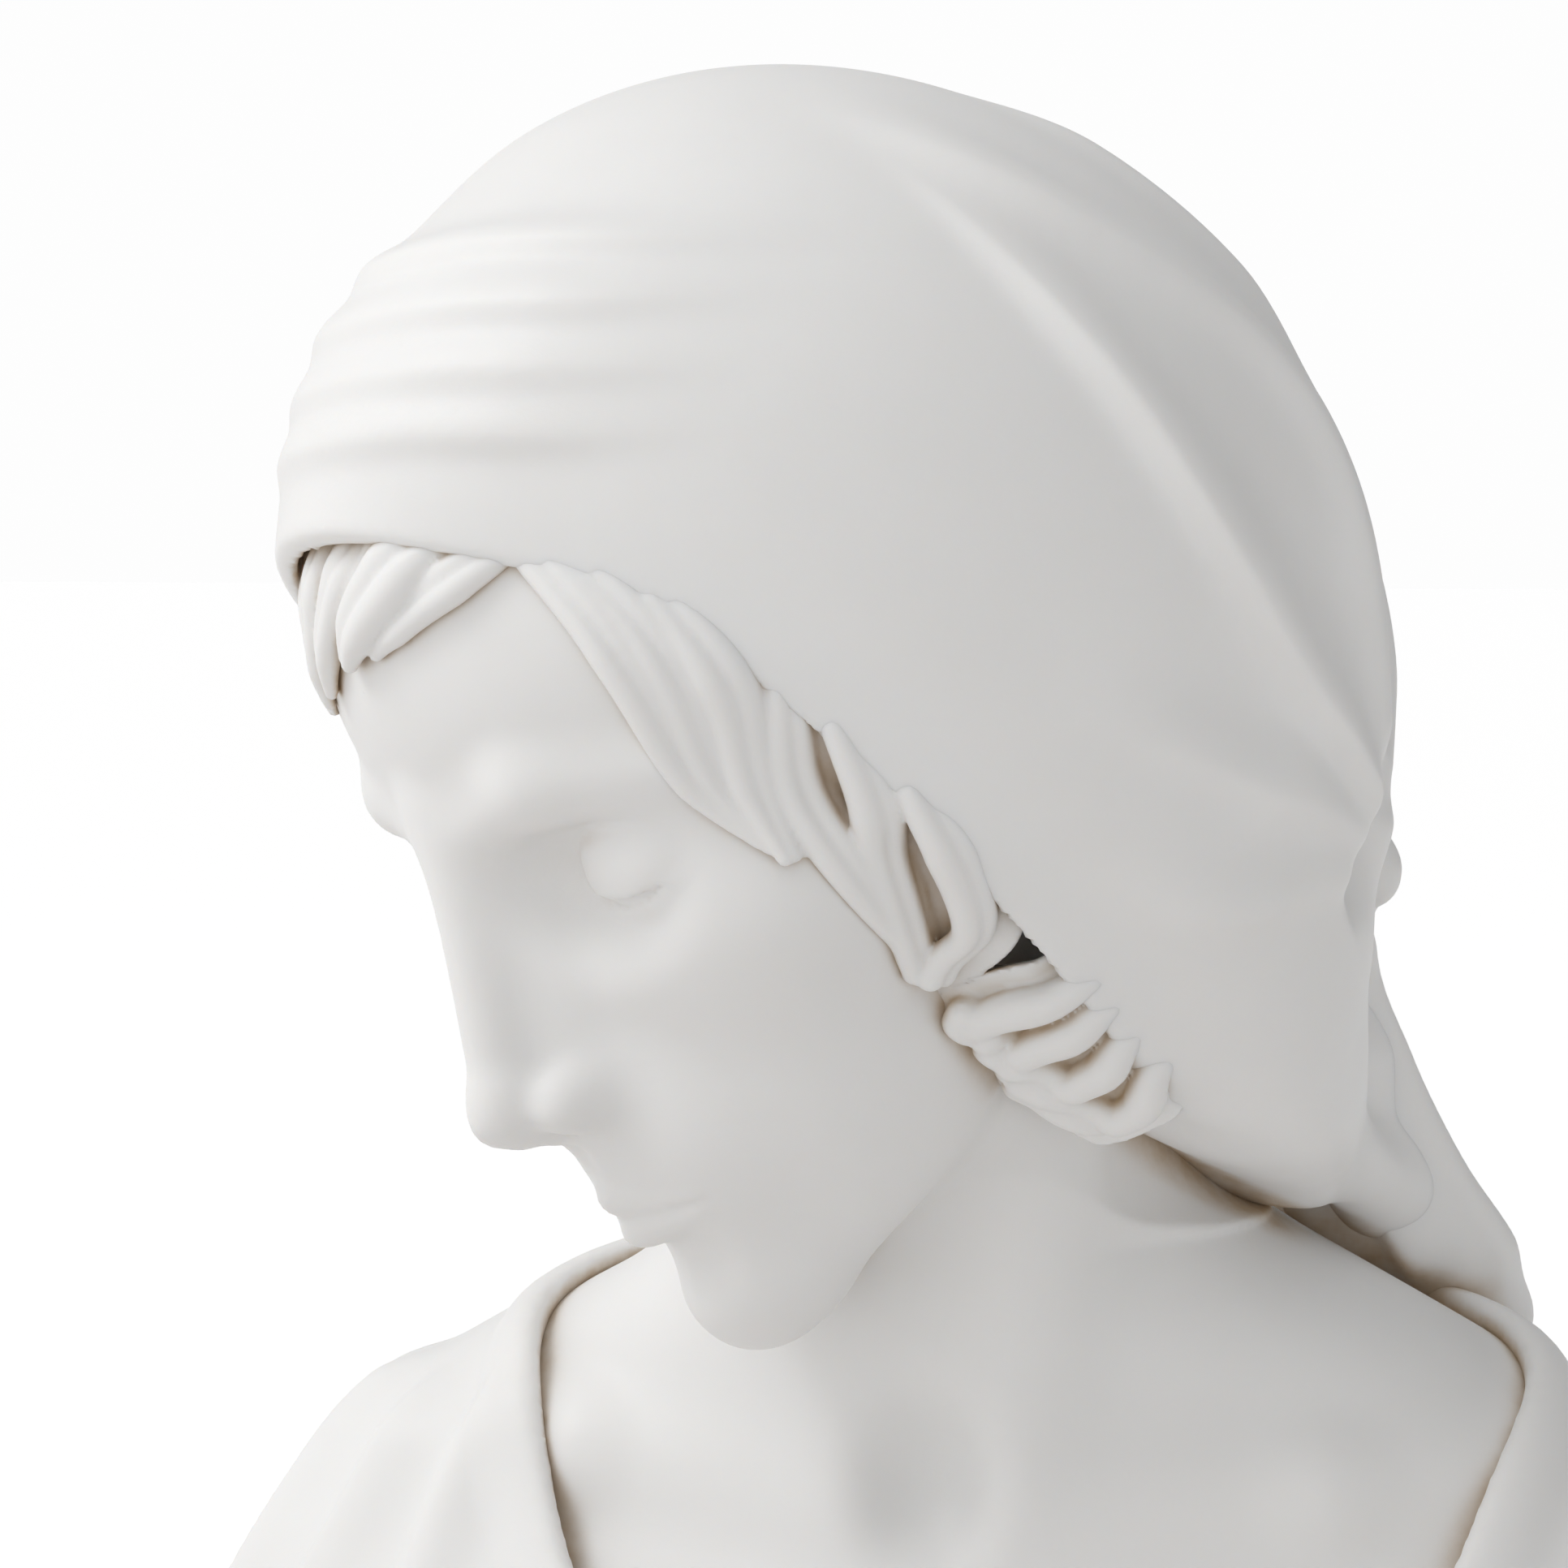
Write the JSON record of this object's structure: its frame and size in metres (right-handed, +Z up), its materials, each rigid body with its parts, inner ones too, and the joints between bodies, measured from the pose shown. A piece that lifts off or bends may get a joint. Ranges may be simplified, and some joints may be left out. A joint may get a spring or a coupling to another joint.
{
  "type": "marble bust",
  "caption": "Life-size draped marble bust of a woman in a headscarf, head bowed and turned, on a turned socle and square plinth that it swivels on.",
  "frame": {"origin": "centre of the face the object stands on, under the turning axis", "axes": "+Z up; the chest faces -Y; the woman's left side is +X"},
  "size_m": [0.3728, 0.2476, 0.7005],
  "materials": {
    "statuary_marble": "honed",
    "socle_marble": "polished",
    "stainless_steel": "turned",
    "bronze": "machined",
    "nylon": "satin",
    "resin_grout": "rough",
    "felt": "felt"
  },
  "bodies": {
    "stand": {"socle": "socle_marble", "plinth": "socle_marble", "plinth_dowels": "stainless_steel", "thrust_washer": "bronze", "pivot_bush": "bronze", "slip_ring": "nylon", "felt_sheet": "felt"},
    "bust": {"head": "statuary_marble", "headscarf": "statuary_marble", "scarf_tail": "statuary_marble", "forehead_locks": "statuary_marble", "left_temple_locks": "statuary_marble", "right_temple_locks": "statuary_marble", "left_ear_curls": "statuary_marble", "right_ear_curls": "statuary_marble", "draped_chest": "statuary_marble", "head_dowels": "stainless_steel", "scarf_dowels": "stainless_steel", "tail_dowel": "stainless_steel", "rod_grout": "resin_grout", "mounting_rod": "stainless_steel", "retaining_nut": "stainless_steel", "lock_nut": "stainless_steel"}
  },
  "joints": [
    {"name": "bust_swivel", "type": "hinge", "parent": "stand", "child": "bust", "pos_m": [0, 0, 0.15], "axis": [0, 0, 1], "continuous": true}
  ]
}
